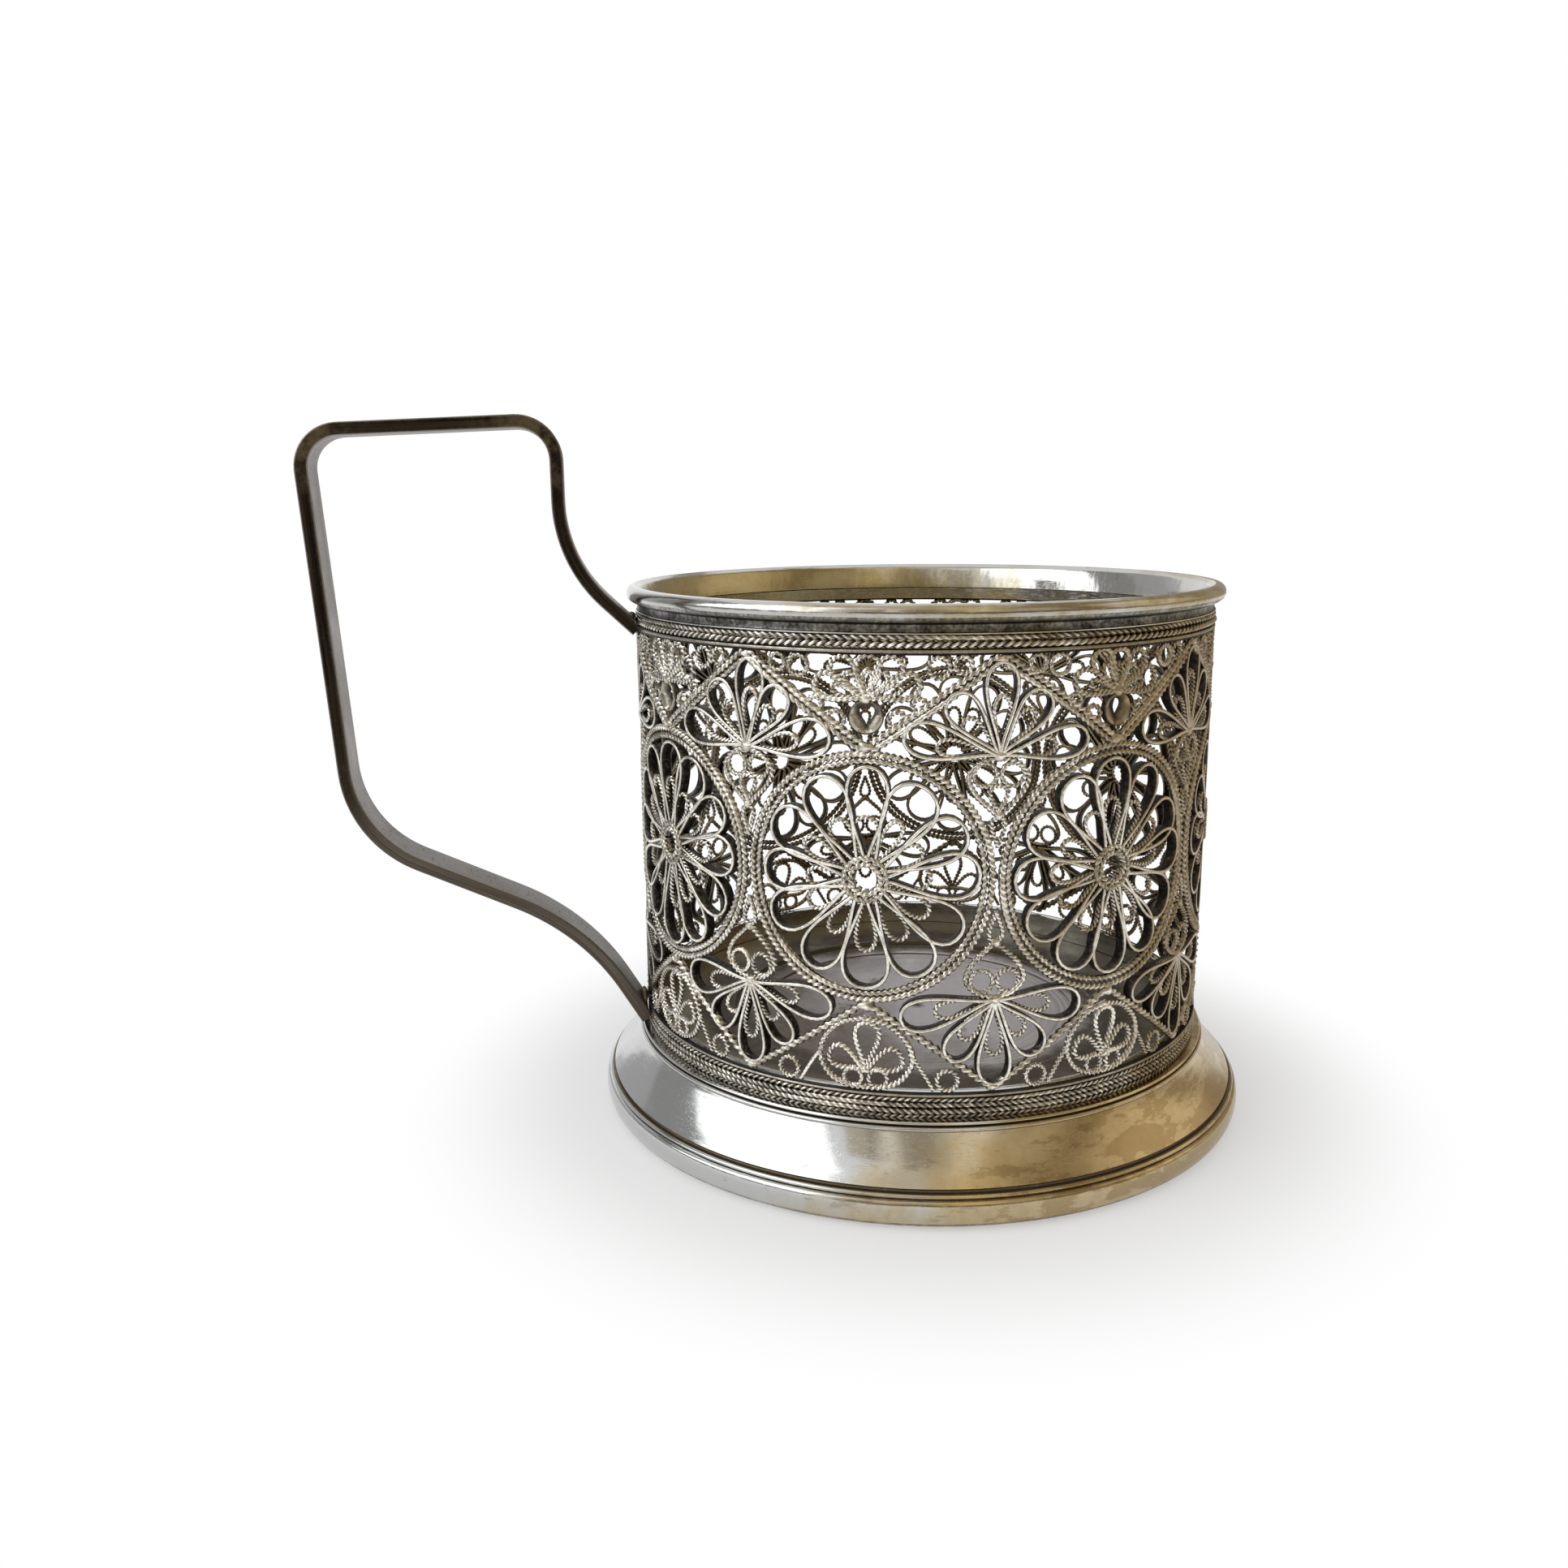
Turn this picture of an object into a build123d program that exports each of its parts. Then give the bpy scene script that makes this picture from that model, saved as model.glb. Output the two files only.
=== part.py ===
from build123d import *
import os
from math import atan2, cos, pi, radians, sin

# Tea glass holder: an openwork wall of flattened wire between two sheet collars,
# on a hollow spun foot, with a bent strap handle. Millimetres, Z up, table at Z = 0.

# Bore for the glass, and the sheet collars at its two ends
bore_radius = 34.5
collar_thickness = 0.7

# Openwork wall
wall_height = 48.3
wire_depth = 0.8
wire_width = 0.42
solder_gap = 0.05
medallion_count = 8

# Medallions: a hoop round a rosette of wire drops
hoop_width = 1.5
hoop_lengths = 8
hoop_steps = 2
hoop_joint = 0.16
petal_count = 12
petal_root = 1.4
petal_gap = 0.1
petal_tip_gap = 0.3
tip_sides = 2

# Zigzag wires and the palmettes that they enclose
zigzag_height = 1.0
zigzag_joint = 0.2
fan_drop = 0.7
fan_root = 1.0
fan_step = 39.5
fan_tip = 1.65
fan_gap = 0.2

# Rope wires and flat strips round the collars
rope_height = 1.25
rope_bulge = 0.15
strip_height = 0.5
band_sides = 30

# Rim
rim_height = 2.1
rim_overhang = 1.05
rim_drop = 0.9
rim_flare = 1.3
rim_flare_drop = 1.1

# Foot
foot_height = 10.3
ledge_overhang = 0.8
neck_overhang = 1.7
neck_drop = 2.1
skirt_overhang = 4.6
groove_height = 4.4
groove_depth = 0.2
groove_width = 0.4
bead_overhang = 5.7
bead_shoulder = 3.4
bead_tuck = 1.4
bead_curl = 1.9
foot_wall = 1.1

# Floor under the glass
floor_thickness = 1.4
floor_step = 0.7
floor_ledge_radius = 24.5
floor_disc_radius = 23.5
floor_gap = 0.1

# Handle strap, reaches measured out from the wall
strap_width = 6.2
strap_thickness = 1.55
upper_root_drop = 0.2
neck_reach = 8.8
neck_rise = 8.4
neck_bend = 16.5
grip_rise = 19.6
grip_fall = 1.2
top_bend = 4.5
grip_reach = 38.0
belly_reach = 35.1
belly_height = 26.5
belly_bend = 14.0
heel_reach = 7.7
heel_height = 13.5
heel_bend = 30.0
lower_root_height = 0.7
handle_gap = 0.05

# Solder fillets at the two ends of the strap
solder_width = 5.0
upper_solder_height = 3.0
lower_solder_height = 5.0

# Levels and radii that follow from the sizes above
collar_radius = bore_radius + collar_thickness
wall_radius = collar_radius + wire_depth
rope_radius = wall_radius + rope_bulge
band_height = 2 * rope_height + strip_height
wall_bottom = foot_height + band_height
wall_top = wall_bottom + wall_height
middle = wall_bottom + wall_height / 2
rim_bottom = wall_top + band_height
rim_top = rim_bottom + rim_height
pitch = 2 * pi * wall_radius / medallion_count

os.makedirs("parts", exist_ok=True)


def outwards(along):
    """Unit vector out of the wall, at a distance round it from the X axis."""
    turn = along / wall_radius
    return Vector(cos(turn), sin(turn), 0)


def round_wall(along):
    """Unit vector along the wall, level and to the right as seen from outside."""
    return Vector(0, 0, 1).cross(outwards(along))


def on_wall(along, height):
    """Point on the outside of the wall."""
    return outwards(along) * wall_radius + Vector(0, 0, height)


def drop_plane(along, height, lean, way, length):
    """Plane of a wire drop: origin at its point, Y along it. It leans from up (way 1) or down (way -1)."""
    reach = length * sin(lean)
    point = on_wall(along, height)
    run = on_wall(along + reach, height + way * length * cos(lean)) - point
    side = run.cross(outwards(along + reach / 2))
    return Plane(origin=point, x_dir=side, z_dir=side.cross(run))


def wire_drop(plane, length, tip_radius):
    """Wire bent to a drop, with its point at the plane's origin and its round tip along Y."""
    centre = length - tip_radius
    turns = [pi * (0.5 - step / tip_sides) for step in range(tip_sides + 1)]
    tip = [(tip_radius * sin(turn), centre + tip_radius * cos(turn)) for turn in turns]
    with BuildSketch(plane) as drop:
        with BuildLine():
            Polyline((0, 0), *tip, close=True)
        make_face()
        offset(amount=-wire_width, kind=Kind.INTERSECTION, mode=Mode.SUBTRACT)
    return drop.sketch


def chord_plane(start, end):
    """Plane that cuts the wall at two distances round it: X level, Z outwards, table at Y = 0."""
    halfway = (start + end) / 2
    depth = wall_radius * cos((end - start) / 2 / wall_radius)
    return Plane(origin=outwards(halfway) * depth, x_dir=round_wall(halfway), z_dir=outwards(halfway))


def finish(piece, name):
    """Label a piece and write its file."""
    piece.part.label = name
    export_step(piece.part, f"parts/{name}.step")


# Foot: one spun sheet from the base bead over the hollow skirt to the collar inside the wall
ledge_radius = wall_radius + ledge_overhang
neck_radius = wall_radius + neck_overhang
skirt_radius = wall_radius + skirt_overhang
bead_radius = wall_radius + bead_overhang
base_radius = bead_radius - bead_curl
with BuildPart() as foot:
    with BuildSketch(Plane.XZ):
        with BuildLine():
            Polyline(
                (bore_radius, foot_height),
                (bore_radius, wall_bottom),
                (collar_radius, wall_bottom),
                (collar_radius, foot_height),
                (ledge_radius, foot_height),
                (neck_radius, foot_height - neck_drop),
                (skirt_radius, groove_height),
                (skirt_radius - groove_depth, groove_height - groove_width),
                (bead_radius, bead_shoulder),
                (bead_radius, bead_tuck),
                (base_radius, 0),
                (base_radius - foot_wall, 0),
                close=True,
            )
        make_face()
    revolve(axis=Axis.Z)
finish(foot, "foot")

# Floor: a stepped disc pressed up against the lower end of the foot's collar
floor_radius = bore_radius - floor_gap
with BuildPart() as floor_plate:
    with BuildSketch(Plane.XZ):
        with BuildLine():
            Polyline(
                (0, foot_height - floor_thickness),
                (floor_radius, foot_height - floor_thickness),
                (floor_radius, foot_height),
                (floor_ledge_radius, foot_height),
                (floor_disc_radius, foot_height - floor_step),
                (0, foot_height - floor_step),
                close=True,
            )
        make_face()
    revolve(axis=Axis.Z)
finish(floor_plate, "floor_plate")

# Rim: a sheet collar that flares out into the round lip
lip_radius = wall_radius + rim_overhang
with BuildPart() as rim_collar:
    with BuildSketch(Plane.XZ):
        with BuildLine():
            Polyline(
                (bore_radius, wall_top),
                (bore_radius, rim_top - rim_flare_drop),
                (bore_radius + rim_flare, rim_top),
                (lip_radius, rim_top - rim_drop),
                (collar_radius, rim_bottom),
                (collar_radius, wall_top),
                close=True,
            )
        make_face()
    revolve(axis=Axis.Z)
finish(rim_collar, "rim_collar")

# Rope wires and flat strips: two ropes and a strip at each collar, stacked towards the wall
bands = {
    "lower_rope_outer": (foot_height, rope_height, rope_radius),
    "lower_rope_inner": (foot_height + rope_height, rope_height, rope_radius),
    "lower_strip": (wall_bottom - strip_height, strip_height, wall_radius),
    "upper_strip": (wall_top, strip_height, wall_radius),
    "upper_rope_inner": (wall_top + strip_height, rope_height, rope_radius),
    "upper_rope_outer": (wall_top + strip_height + rope_height, rope_height, rope_radius),
}
for name, (level, height, radius) in bands.items():
    with BuildPart() as band:
        with BuildSketch(Plane.XY.offset(level)):
            RegularPolygon(radius, band_sides)
            RegularPolygon(collar_radius, band_sides, major_radius=False, mode=Mode.SUBTRACT)
        extrude(amount=height)
    finish(band, name)

# Medallion hoops: each is bent from eight lengths of wire, laid end to end on the round of the wall
hoop_radius = pitch / 2 - solder_gap
hoop_inside = hoop_radius - hoop_width
joint_turn = hoop_joint / hoop_inside
length_turn = 2 * pi / hoop_lengths
for number in range(medallion_count):
    centre = (number + 0.5) * pitch
    with BuildPart() as medallion_hoop:
        for length in range(hoop_lengths):
            first = length * length_turn + joint_turn
            step_turn = (length_turn - 2 * joint_turn) / hoop_steps
            turns = [first + step * step_turn for step in range(hoop_steps + 1)]
            start = hoop_radius * sin(turns[0])
            end = hoop_radius * sin(turns[-1])
            shift = (start + end) / 2
            outer = [(hoop_radius * sin(t) - shift, middle + hoop_radius * cos(t)) for t in turns]
            inner = [(hoop_inside * sin(t) - shift, middle + hoop_inside * cos(t)) for t in turns]
            with BuildSketch(chord_plane(centre + start, centre + end)):
                with BuildLine():
                    Polyline(*outer, *reversed(inner), close=True)
                make_face()
            extrude(amount=-wire_depth)
    finish(medallion_hoop, f"medallion_hoop_{number + 1}")

# Rosettes: twelve wire drops in each hoop, tips against the hoop
petal_half_angle = pi / petal_count
petal_reach = hoop_inside - petal_tip_gap
petal_tip = (petal_reach * sin(petal_half_angle) - petal_gap) / (1 + sin(petal_half_angle))
petal_length = petal_reach - petal_root
for number in range(medallion_count):
    centre = (number + 0.5) * pitch
    with BuildPart() as rosette:
        for petal in range(petal_count):
            lean = 2 * petal_half_angle * petal
            along = centre + petal_root * sin(lean)
            height = middle + petal_root * cos(lean)
            plane = drop_plane(along, height, lean, 1, petal_length)
            extrude(wire_drop(plane, petal_length, petal_tip), amount=-wire_depth)
    finish(rosette, f"rosette_{number + 1}")

# Zigzag wires: straight legs between the hoops and the strips, above and below the medallions
zigzag_low = hoop_radius + solder_gap + zigzag_height / 2
zigzag_high = wall_height / 2 - solder_gap - zigzag_height / 2
leg_reach = wall_radius * sin(pitch / 4 / wall_radius) - zigzag_joint
for name, way in (("upper_zigzag", 1), ("lower_zigzag", -1)):
    with BuildPart() as zigzag:
        for leg in range(2 * medallion_count):
            start_rise = zigzag_high if leg % 2 == 0 else zigzag_low
            end_rise = zigzag_low + zigzag_high - start_rise
            start = middle + way * start_rise
            end = middle + way * end_rise
            with BuildSketch(chord_plane(leg * pitch / 2, (leg + 1) * pitch / 2)):
                with BuildLine():
                    Polyline(
                        (-leg_reach, start - zigzag_height / 2),
                        (leg_reach, end - zigzag_height / 2),
                        (leg_reach, end + zigzag_height / 2),
                        (-leg_reach, start + zigzag_height / 2),
                        close=True,
                    )
                make_face()
            extrude(amount=-wire_depth)
    finish(zigzag, name)

# Palmettes: five wire drops fanned out between two hoops, tips against the zigzag wire
slope = atan2(zigzag_high - zigzag_low, pitch / 2)
fan_rise = hoop_radius - fan_drop
fan_room = (zigzag_high - zigzag_height / 2 - fan_rise) * cos(slope) - fan_tip - fan_gap
for name, way in (("upper_palmette", 1), ("lower_palmette", -1)):
    for number in range(medallion_count):
        with BuildPart() as palmette:
            for leaf in (-2, -1, 0, 1, 2):
                lean = radians(fan_step * leaf)
                along = number * pitch + fan_root * sin(lean)
                height = middle + way * (fan_rise + fan_root * cos(lean))
                length = fan_room / cos(abs(lean) - slope) + fan_tip - fan_root
                plane = drop_plane(along, height, lean, way, length)
                extrude(wire_drop(plane, length, fan_tip), amount=-wire_depth)
        finish(palmette, f"{name}_{number + 1}")

# Handle: one flat strap, bent up from the rim, over, down and back in to the foot
upper_root = Vector(-wall_radius, wall_top - upper_root_drop)
neck = Vector(-wall_radius - neck_reach, upper_root.Y + neck_rise)
crown = Vector(-wall_radius - neck_reach, rim_top + grip_rise)
shoulder_corner = Vector(-wall_radius - grip_reach, rim_top + grip_rise - grip_fall)
belly = Vector(-wall_radius - belly_reach, foot_height + belly_height)
heel = Vector(-wall_radius - heel_reach, foot_height + heel_height)
lower_root = Vector(-wall_radius, foot_height + lower_root_height)
bends = (neck_bend, top_bend, top_bend, belly_bend, heel_bend)
with BuildPart() as handle:
    with BuildSketch(Plane.XZ):
        with BuildLine():
            FilletPolyline(upper_root, neck, crown, shoulder_corner, belly, heel, lower_root, radius=bends)
        trace(line_width=strap_thickness)
    extrude(amount=strap_width / 2, both=True)
    with BuildSketch():
        Circle(rope_radius + handle_gap)
    extrude(amount=rim_top, mode=Mode.SUBTRACT)
    with BuildSketch():
        Circle(bead_radius)
    extrude(amount=foot_height + handle_gap, mode=Mode.SUBTRACT)
finish(handle, "handle")

# Solder fillets: in the corners that the band makes with the strap's upper and lower ends
fillets = {
    "upper_solder": (upper_root, neck, upper_solder_height),
    "lower_solder": (lower_root, heel, lower_solder_height),
}
for name, (root, far, height) in fillets.items():
    on_strap = root + (far - root) * (height / (far.Y - root.Y))
    with BuildPart() as solder:
        with BuildSketch(Plane.XZ):
            with BuildLine():
                Polyline(root, on_strap, (root.X, root.Y + height), close=True)
            make_face()
        extrude(amount=solder_width / 2, both=True)
        with BuildSketch():
            Circle(rope_radius + handle_gap)
        extrude(amount=rim_top, mode=Mode.SUBTRACT)
        add(handle.part, mode=Mode.SUBTRACT)
    finish(solder, name)
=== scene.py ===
from math import cos, pi, radians, sin

import bpy
import numpy as np
from mathutils import Matrix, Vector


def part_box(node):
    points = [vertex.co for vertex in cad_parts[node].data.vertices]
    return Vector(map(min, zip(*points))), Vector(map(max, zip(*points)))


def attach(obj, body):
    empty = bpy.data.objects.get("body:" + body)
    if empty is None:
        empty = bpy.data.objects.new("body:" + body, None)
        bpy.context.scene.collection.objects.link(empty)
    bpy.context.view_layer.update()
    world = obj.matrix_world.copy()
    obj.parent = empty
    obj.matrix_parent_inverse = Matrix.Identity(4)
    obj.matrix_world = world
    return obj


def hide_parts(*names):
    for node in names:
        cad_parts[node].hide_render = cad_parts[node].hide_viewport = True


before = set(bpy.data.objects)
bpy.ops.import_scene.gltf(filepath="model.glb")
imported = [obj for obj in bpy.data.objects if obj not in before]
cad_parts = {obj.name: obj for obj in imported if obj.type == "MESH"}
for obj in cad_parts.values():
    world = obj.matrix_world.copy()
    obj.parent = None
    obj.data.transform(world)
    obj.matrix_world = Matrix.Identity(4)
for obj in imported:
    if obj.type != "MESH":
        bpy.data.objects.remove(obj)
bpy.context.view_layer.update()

# Foot: one disc of silver sheet spun over a former, with a rolled base bead, a turned groove, a hollow
# flared skirt and a low collar that stands inside the openwork. Polished, and yellowed more on the side
# away from the light and towards the bottom: tarnish, with painted shade on the side away from the light.


def eased(points, steps=6):
    """Smooth line through a few points of a turned profile."""
    line = np.array(points, float)
    if len(line) < 3:
        return line
    ends = np.vstack([2 * line[0] - line[1], line, 2 * line[-1] - line[-2]])
    out = []
    for a, b, c, d in zip(ends, ends[1:], ends[2:], ends[3:]):
        for t in np.arange(steps) / steps:
            bend = b + 0.5 * t * (c - a) + t * t * (a - 2.5 * b + 2 * c - 0.5 * d)
            out.append(bend + t**3 * (1.5 * (b - c) + 0.5 * (d - a)))
    return np.array(out + [line[-1]])


def net(rows, columns, closed=False, flipped=False):
    """Faces between rows of points, each row a ring.

    Closed joins the last row to the first, and flipped turns the faces over.
    """
    i, j = np.meshgrid(np.arange(rows if closed else rows - 1), np.arange(columns), indexing="ij")
    k, m = (i + 1) % rows, (j + 1) % columns
    corners = [i * columns + j, k * columns + j, k * columns + m, i * columns + m]
    if flipped:
        corners = [corners[0], *corners[:0:-1]]
    return np.stack(corners, -1).reshape(-1, 4).tolist()


def spun(runs, turns=200, dirt_and_shadow_rings=()):
    """Sheet turned about the glass's axis: smooth runs with a crease between them.

    Each ring of dirt or painted shadow is its lowest and highest level, the radius it starts at and its wear
    from 0, black, to 1.
    """
    profile = np.vstack([eased(run)[:-1] for run in runs])
    before, after = np.roll(profile, 1, 0), np.roll(profile, -1, 0)
    a, b = profile - before, after - profile
    turn = np.arctan2(a[:, 0] * b[:, 1] - a[:, 1] * b[:, 0], (a * b).sum(1))
    flat_wear, corner_wear = 0.55, 0.6
    wear_and_shade = np.clip(flat_wear - corner_wear * turn, 0, 1)
    for low, high, reach, wear in dirt_and_shadow_rings:
        wear_and_shade[(profile[:, 1] > low) & (profile[:, 1] < high) & (profile[:, 0] > reach)] = wear
    angle = np.arange(turns) * 2 * pi / turns
    ring = np.stack([np.cos(angle), np.sin(angle)], 1)
    count = len(profile)
    points = np.empty((turns, count, 3))
    points[:, :, :2] = ring[:, None, :] * profile[None, :, :1]
    points[:, :, 2] = profile[:, 1]
    return points.reshape(-1, 3), net(turns, count, True, True), np.tile(wear_and_shade, turns)


def make_piece(name, shapes, finish, nodes=(), crease=35, marks=()):
    """One soldered-up piece from several shapes in millimetres, with wear, painted shade and other marks on
    its points.
    """
    points, faces, wear_and_shade, first = [], [], [], 0
    for shape_points, shape_faces, shape_worn in shapes:
        points.append(shape_points)
        wear_and_shade.append(shape_worn)
        faces += [[v + first for v in face] for face in shape_faces]
        first += len(shape_points)
    mesh = bpy.data.meshes.new(name)
    mesh.from_pydata((np.vstack(points) * 0.001).tolist(), [], faces)
    for mark, values in [("wear_and_shade", np.concatenate(wear_and_shade)), *marks]:
        layer = mesh.attributes.new(mark, "FLOAT", "POINT")
        layer.data.foreach_set("value", values.astype(np.float32))
    mesh.shade_smooth()
    mesh.set_sharp_from_angle(angle=radians(crease))
    mesh.materials.append(finish)
    piece = bpy.data.objects.new(name, mesh)
    bpy.context.collection.objects.link(piece)
    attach(piece, "root")
    if nodes:
        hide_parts(*nodes)


def feed(tree, socket, value):
    """Give an input a plain value, or link it to an output."""
    if isinstance(value, bpy.types.NodeSocket):
        tree.links.new(value, socket)
    else:
        socket.default_value = value


def add_node(tree, kind, **settings):
    """A node with its settings, and its inputs by name."""
    node = tree.nodes.new(kind)
    for key, value in settings.items():
        if key in node.inputs:
            feed(tree, node.inputs[key], value)
        else:
            setattr(node, key, value)
    return node


def new_effect(name, inputs, outputs):
    """An empty node group with named values in and out."""
    tree = bpy.data.node_groups.new(name, "ShaderNodeTree")
    for key, value in inputs.items():
        kind = "NodeSocketVector" if isinstance(value, tuple) else "NodeSocketFloat"
        tree.interface.new_socket(key, in_out="INPUT", socket_type=kind).default_value = value
    for key in outputs:
        tree.interface.new_socket(key, in_out="OUTPUT", socket_type="NodeSocketFloat")
    return tree, tree.nodes.new("NodeGroupInput").outputs, tree.nodes.new("NodeGroupOutput").inputs


def maths(tree, operation, a, b, c=None):
    """One sum on values or sockets."""
    node = tree.nodes.new("ShaderNodeMath")
    node.operation = operation
    for socket, value in zip(node.inputs, (a, b, c)):
        if value is not None:
            feed(tree, socket, value)
    return node.outputs[0]


def spread(tree, value, low, high, start=0.0, end=1.0):
    """Value eased from one span to another."""
    node = add_node(tree, "ShaderNodeMapRange", interpolation_type="SMOOTHSTEP", Value=value)
    for key, number in zip(("From Min", "From Max", "To Min", "To Max"), (low, high, start, end)):
        feed(tree, node.inputs[key], number)
    return node.outputs["Result"]


def by_place(tree, operation, other=(0, 0, 0)):
    """A vector sum on the place of the point being shaded, in metres."""
    where = add_node(tree, "ShaderNodeNewGeometry")
    node = add_node(tree, "ShaderNodeVectorMath", operation=operation)
    for socket, value in zip(node.inputs, (where.outputs["Position"], other)):
        feed(tree, socket, value)
    return node.outputs["Vector" if operation == "MULTIPLY" else "Value"]


def clouds(tree, scale, detail=4.0, rough=0.55, stretch=(1, 1, 1)):
    """Cloudy unevenness over the whole object, by place."""
    place = by_place(tree, "MULTIPLY", stretch)
    noise = add_node(tree, "ShaderNodeTexNoise", Vector=place, Scale=scale, Detail=detail, Roughness=rough)
    return noise.outputs["Fac"]


def off_axis(tree):
    """How far a point stands from the glass's axis, in metres."""
    flat = by_place(tree, "MULTIPLY", (1, 1, 0))
    return add_node(tree, "ShaderNodeVectorMath", operation="LENGTH", Vector=flat).outputs["Value"]


# The brown tarnish that silver grows: cloudy, heavier towards one side, with stains where it is oldest. Where
# a material leans it towards a side that lies in shade, the heavier side is painted shade as well as tarnish.
tarnish_and_shade_inputs = {"Scale": 60.0, "Cover": 0.4, "Towards": (6.0, 3.0, 0.0)}
tree, given, put = new_effect("tarnish_and_shade_film", tarnish_and_shade_inputs, ["Film", "Mottle", "Stain"])
lean = by_place(tree, "DOT_PRODUCT", given["Towards"])
side = maths(tree, "ADD", lean, maths(tree, "SUBTRACT", given["Cover"], 0.5))
level = maths(tree, "ADD", clouds(tree, given["Scale"], 5.0, 0.6), side)
tree.links.new(spread(tree, level, 0.36, 0.66), put["Film"])
tree.links.new(spread(tree, clouds(tree, 900.0, 3.0, 0.6), 0.3, 0.7), put["Mottle"])
patches = clouds(tree, maths(tree, "MULTIPLY", given["Scale"], 2.5), 8.0, 0.66, (1, 1, 3.0))
oldest = maths(tree, "ADD", patches, maths(tree, "MULTIPLY", side, 0.35))
tree.links.new(spread(tree, oldest, 0.575, 0.625), put["Stain"])

# Low marks on the points go dark, for sulphide in hollows and for the painted shade the marks carry between
# wires, against the wall and under the lip; proud wire is rubbed bright
tree, given, put = new_effect("wear_and_shade_edges", {"Grime": 0.5, "Break": 0.35}, ["Hollow", "Rubbed"])
wear_and_shade = add_node(tree, "ShaderNodeAttribute", attribute_name="wear_and_shade").outputs["Fac"]
both = maths(tree, "ADD", clouds(tree, 420.0, 4.0, 0.65), clouds(tree, 2300.0, 2.0, 0.5))
uneven = maths(tree, "MULTIPLY", maths(tree, "SUBTRACT", both, 1.0), given["Break"])
height = maths(tree, "ADD", wear_and_shade, uneven)
tree.links.new(spread(tree, height, given["Grime"], 0.0), put["Hollow"])
tree.links.new(spread(tree, height, 0.6, 0.95), put["Rubbed"])

# Hairline scratches from years of polishing, mostly round the axis, with a few that cross
tree, given, put = new_effect("hairlines", {"Scale": 900.0}, ["Lines", "Waviness"])
first = clouds(tree, given["Scale"], 2.0, 0.5, (1, 1, 14))
second = clouds(tree, given["Scale"], 2.0, 0.5, (9, 9, 0.7))
both = maths(tree, "MAXIMUM", spread(tree, first, 0.56, 0.74), spread(tree, second, 0.6, 0.78))
tree.links.new(both, put["Lines"])
tree.links.new(clouds(tree, 70.0, 2.0, 0.5), put["Waviness"])


def new_finish(name, **settings):
    """A material with its shader, and the shader's plain values."""
    finish = bpy.data.materials.new(name)
    finish.use_nodes = True
    shader = finish.node_tree.nodes["Principled BSDF"]
    for key, value in settings.items():
        shader.inputs[key.replace("_", " ")].default_value = value
    return finish, finish.node_tree, shader


def effect(tree, name, **values):
    """A shared effect with this material's own values."""
    node = tree.nodes.new("ShaderNodeGroup")
    node.node_tree = bpy.data.node_groups[name]
    for key, value in values.items():
        node.inputs[key].default_value = value
    return node.outputs


def tint(tree, share, a, b):
    """One colour laid over another by a mask."""
    node = add_node(tree, "ShaderNodeMix", data_type="RGBA", Factor=share)
    for socket, colour in ((node.inputs[6], a), (node.inputs[7], b)):
        feed(tree, socket, (*colour, 1) if isinstance(colour, tuple) else colour)
    return node.outputs[2]


def coat(tree, shader, colour, rough, relief, depth, strength):
    """Put a colour, a roughness and small relief on a material, the relief's depth in metres."""
    bump = add_node(tree, "ShaderNodeBump", Height=relief, Strength=strength, Distance=depth)
    for key, socket in (("Base Color", colour), ("Roughness", rough), ("Normal", bump.outputs["Normal"])):
        tree.links.new(socket, shader.inputs[key])


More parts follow.
